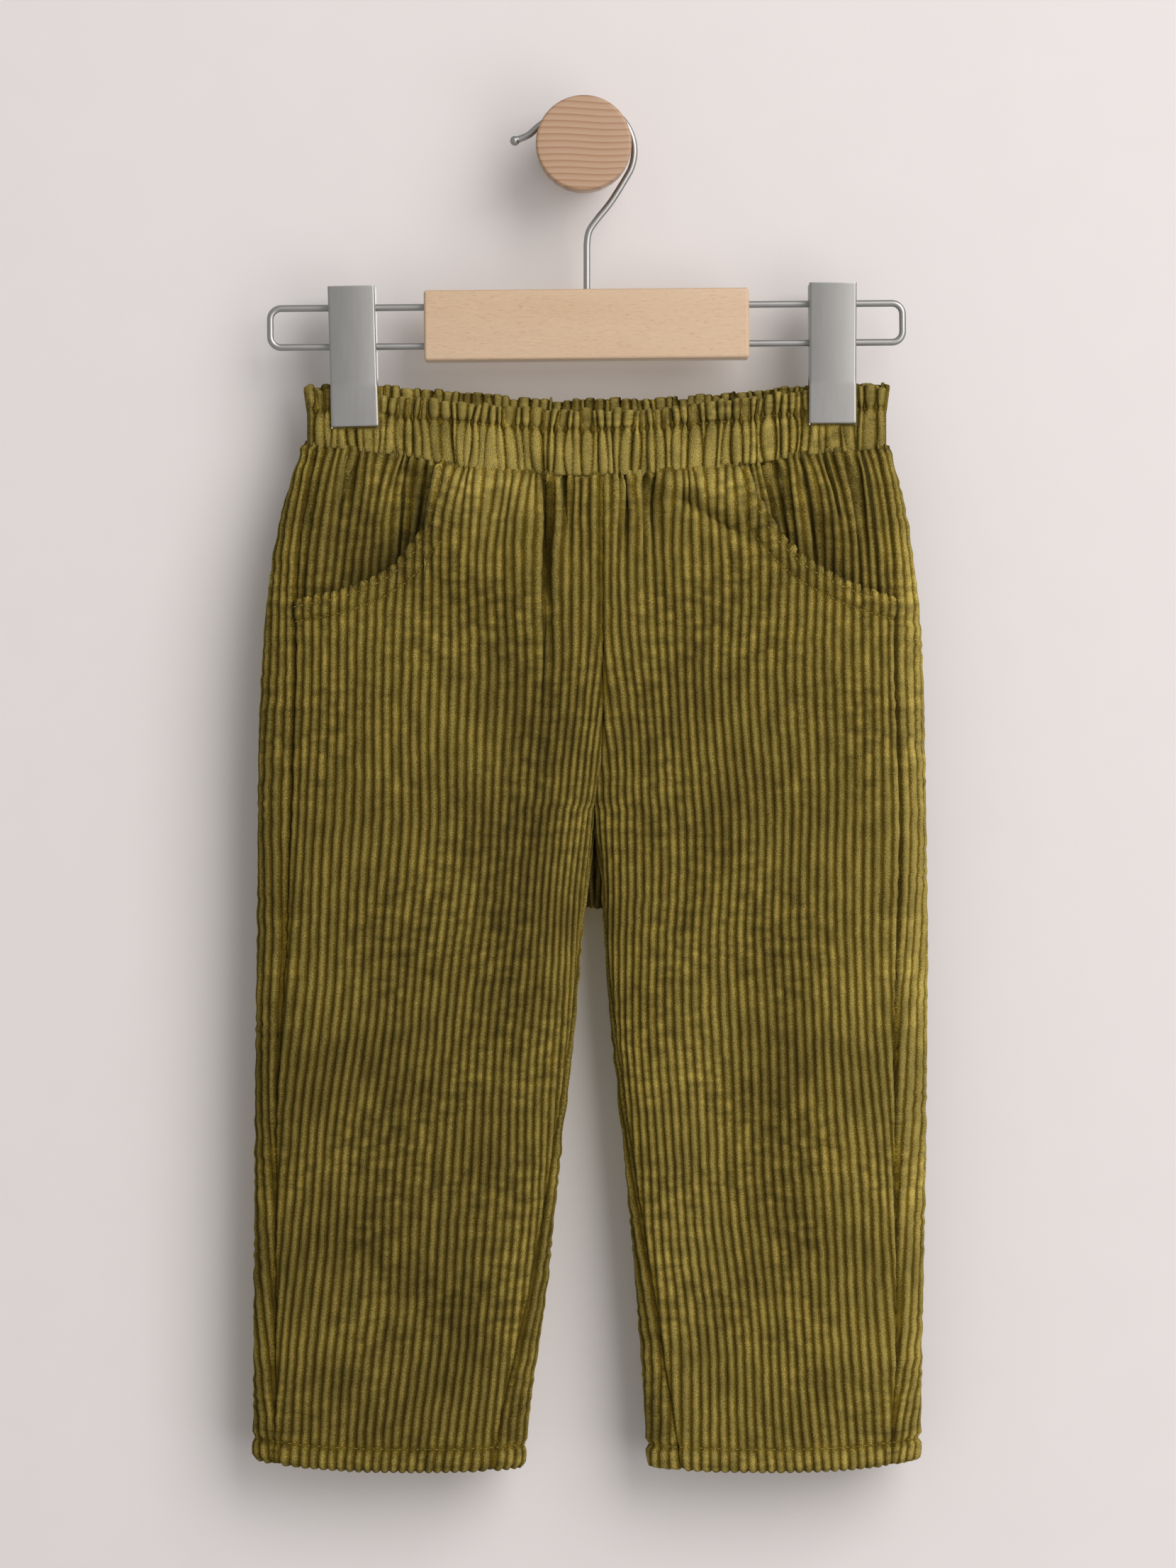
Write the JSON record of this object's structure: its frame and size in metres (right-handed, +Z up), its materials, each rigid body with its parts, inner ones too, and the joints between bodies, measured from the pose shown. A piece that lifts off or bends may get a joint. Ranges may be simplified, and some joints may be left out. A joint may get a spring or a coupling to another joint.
{
  "type": "corduroy trousers on a clip hanger and wall peg",
  "caption": "Pull-on wide-wale corduroy trousers with a frilled elastic waistband and curved hip pockets, held by a wooden clip hanger on a round wall peg.",
  "frame": {"origin": "middle of the wall peg's flat back face, where it meets the wall", "axes": "+Z up, +Y into the wall so that the trousers face -Y, +X to the right of someone looking at their front"},
  "size_m": [0.3112, 0.0481, 0.6329],
  "materials": {
    "jumbo_cord": "olive green cotton corduroy, wide raised wales with a soft nap",
    "gathered_cord": "the same corduroy, doubled over elastic and gathered",
    "peg_wood": "turned pine with fine rings, oiled",
    "bar_wood": "sanded beech with short flecks",
    "satin_steel": "satin nickel-plated steel",
    "clip_guide": "dark grey moulded guide inside the clip"
  },
  "bodies": {
    "root": {"front_left": "jumbo_cord", "front_right": "jumbo_cord", "back_left": "jumbo_cord", "back_right": "jumbo_cord", "pocket_facing_left": "jumbo_cord", "pocket_facing_right": "jumbo_cord", "waistband_front": "gathered_cord", "waistband_back": "gathered_cord", "wall_peg": "peg_wood", "hanger_bar": "bar_wood", "hanger_hook": "satin_steel", "wire_frame": "satin_steel", "clip_left_front": "satin_steel", "clip_left_back": "satin_steel", "clip_left_core": "clip_guide", "clip_right_front": "satin_steel", "clip_right_back": "satin_steel", "clip_right_core": "clip_guide"}
  },
  "joints": []
}
